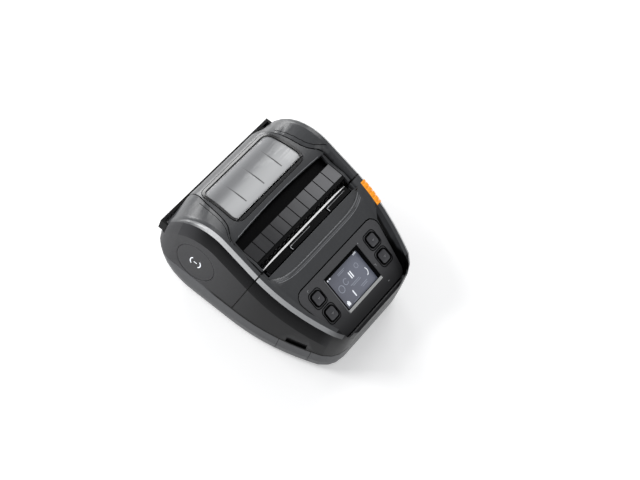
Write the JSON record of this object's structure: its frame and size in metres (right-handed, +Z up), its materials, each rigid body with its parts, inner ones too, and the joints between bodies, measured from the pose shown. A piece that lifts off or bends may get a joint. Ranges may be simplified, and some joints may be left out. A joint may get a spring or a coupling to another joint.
{
  "type": "portable label printer",
  "caption": "Rugged portable label printer with a hinged roll cover, a window, a tear bar, a sloped control panel and a side latch.",
  "frame": {"origin": "middle of the base's footprint, on the surface that the printer stands on", "axes": "+X to the right of someone facing the control panel, +Y to the rear, +Z up"},
  "size_m": [0.155, 0.178, 0.0849],
  "materials": {
    "housing": "fine moulded texture",
    "cover": "fine moulded texture",
    "panel": "satin",
    "comb": "satin",
    "key": "satin",
    "black_plastic": "satin",
    "window": "translucent satin",
    "rubber": "ground",
    "steel": "machined",
    "bright_steel": "polished edge",
    "dark_steel": "blackened sheet",
    "gear": "natural acetal",
    "latch": "satin",
    "screen": "smooth",
    "board": "solder mask",
    "paper": "wound paper",
    "card": "card",
    "battery": "moulded"
  },
  "bodies": {
    "base": {"lower_housing": "housing", "front_housing": "housing", "rear_housing": "housing", "boss_cap_right": "housing", "boss_cap_left": "housing", "rear_bar": "black_plastic", "hinge_pin": "steel", "port_sockets": "black_plastic", "stepper_motor": "dark_steel", "side_frame_right": "dark_steel", "side_frame_left": "dark_steel", "print_head": "black_plastic", "head_bracket": "dark_steel", "head_spring_right": "steel", "head_spring_left": "steel", "spring_plate": "dark_steel", "tear_bar": "bright_steel", "exit_tray": "black_plastic", "control_panel": "panel", "display_bezel": "black_plastic", "display_screen": "screen", "display_module": "black_plastic", "control_board": "board", "main_board": "board", "screw_front_right": "steel", "screw_front_left": "steel", "screw_rear_right": "steel", "screw_rear_left": "steel"},
    "cover": {"cover_shell": "cover", "window_frame": "black_plastic", "window": "window", "comb_panel": "comb", "web_guide": "black_plastic", "toothed_strip": "black_plastic", "platen_carrier": "black_plastic"},
    "platen": {"platen_roller": "rubber", "platen_shaft": "steel", "platen_gear": "gear"},
    "idler": {"idler_gear": "gear"},
    "pinion": {"motor_pinion": "steel"},
    "roll": {"label_roll": "paper", "roll_core": "card"},
    "latch_bar": {"latch_shaft": "steel"},
    "button": {"latch_button": "latch"},
    "peeler": {"peeler_flap": "black_plastic"},
    "rear_left_key": {"key_rear_left": "key"},
    "rear_right_key": {"key_rear_right": "key"},
    "front_left_key": {"key_front_left": "key"},
    "front_right_key": {"key_front_right": "key"},
    "right_guide": {"roll_guide_right": "black_plastic"},
    "left_guide": {"roll_guide_left": "black_plastic"},
    "guide_gear": {"guide_pinion": "gear"},
    "port_door": {"port_cover": "housing"},
    "battery": {"battery_pack": "battery"},
    "catch": {"battery_catch": "black_plastic"}
  },
  "joints": [
    {"name": "cover_hinge", "type": "hinge", "parent": "base", "child": "cover", "pos_m": [0, 0.0825, 0.0575], "axis": [-1, 0, 0], "range_deg": [0, 80]},
    {"name": "platen_spin", "type": "hinge", "parent": "cover", "child": "platen", "pos_m": [0, 0.0082, 0.0605], "axis": [1, 0, 0], "continuous": true},
    {"name": "idler_spin", "type": "hinge", "parent": "base", "child": "idler", "pos_m": [0, 0.0022, 0.04214], "axis": [1, 0, 0], "continuous": true},
    {"name": "pinion_spin", "type": "hinge", "parent": "base", "child": "pinion", "pos_m": [0, -0.0155, 0.03825], "axis": [1, 0, 0], "continuous": true},
    {"name": "roll_spin", "type": "hinge", "parent": "base", "child": "roll", "pos_m": [0, 0.0435, 0.0425], "axis": [1, 0, 0], "continuous": true},
    {"name": "latch_press", "type": "slide", "parent": "base", "child": "button", "axis": [-0.7071, 0, -0.7071], "range_m": [0, 0.0025], "stiffness_N_per_m": 800, "springref_m": -0.001},
    {"name": "latch_turn", "type": "hinge", "parent": "base", "child": "latch_bar", "pos_m": [0, 0.0065, 0.0465], "axis": [1, 0, 0], "range_deg": [0, 12]},
    {"name": "peeler_hinge", "type": "hinge", "parent": "base", "child": "peeler", "pos_m": [0, -0.0076, 0.065], "axis": [1, 0, 0], "range_deg": [0, 55]},
    {"name": "key_rear_left_press", "type": "slide", "parent": "base", "child": "rear_left_key", "axis": [0, 0.3794, -0.9252], "range_m": [0, 0.001], "stiffness_N_per_m": 600, "springref_m": -0.0005},
    {"name": "key_rear_right_press", "type": "slide", "parent": "base", "child": "rear_right_key", "axis": [0, 0.3794, -0.9252], "range_m": [0, 0.001], "stiffness_N_per_m": 600, "springref_m": -0.0005},
    {"name": "key_front_left_press", "type": "slide", "parent": "base", "child": "front_left_key", "axis": [0, 0.3794, -0.9252], "range_m": [0, 0.001], "stiffness_N_per_m": 600, "springref_m": -0.0005},
    {"name": "key_front_right_press", "type": "slide", "parent": "base", "child": "front_right_key", "axis": [0, 0.3794, -0.9252], "range_m": [0, 0.001], "stiffness_N_per_m": 600, "springref_m": -0.0005},
    {"name": "guide_right_slide", "type": "slide", "parent": "base", "child": "right_guide", "axis": [1, 0, 0], "range_m": [0, 0.0055]},
    {"name": "guide_left_slide", "type": "slide", "parent": "base", "child": "left_guide", "axis": [-1, 0, 0], "range_m": [0, 0.0055]},
    {"name": "guide_pinion_turn", "type": "hinge", "parent": "base", "child": "guide_gear", "pos_m": [0, 0.014, 0.013], "axis": [0, 1, 0], "range_deg": [0, 90]},
    {"name": "port_cover_hinge", "type": "hinge", "parent": "base", "child": "port_door", "pos_m": [-0.0664, -0.0551, 0.0044], "axis": [0.3189, -0.9478, 0], "range_deg": [0, 70]},
    {"name": "battery_drop", "type": "slide", "parent": "base", "child": "battery", "axis": [0, 0, -1], "range_m": [0, 0.022]},
    {"name": "battery_catch_slide", "type": "slide", "parent": "base", "child": "catch", "axis": [0, 1, 0], "range_m": [0, 0.003], "stiffness_N_per_m": 300, "springref_m": -0.001}
  ],
  "couplings": [
    {"joint": "idler_spin", "follows": "platen_spin", "ratio": -0.6},
    {"joint": "pinion_spin", "follows": "platen_spin", "ratio": 1.2},
    {"joint": "latch_turn", "follows": "latch_press", "rad_per_m": 80},
    {"joint": "guide_left_slide", "follows": "guide_right_slide", "ratio": 1},
    {"joint": "guide_pinion_turn", "follows": "guide_right_slide", "rad_per_m": 261.8}
  ]
}
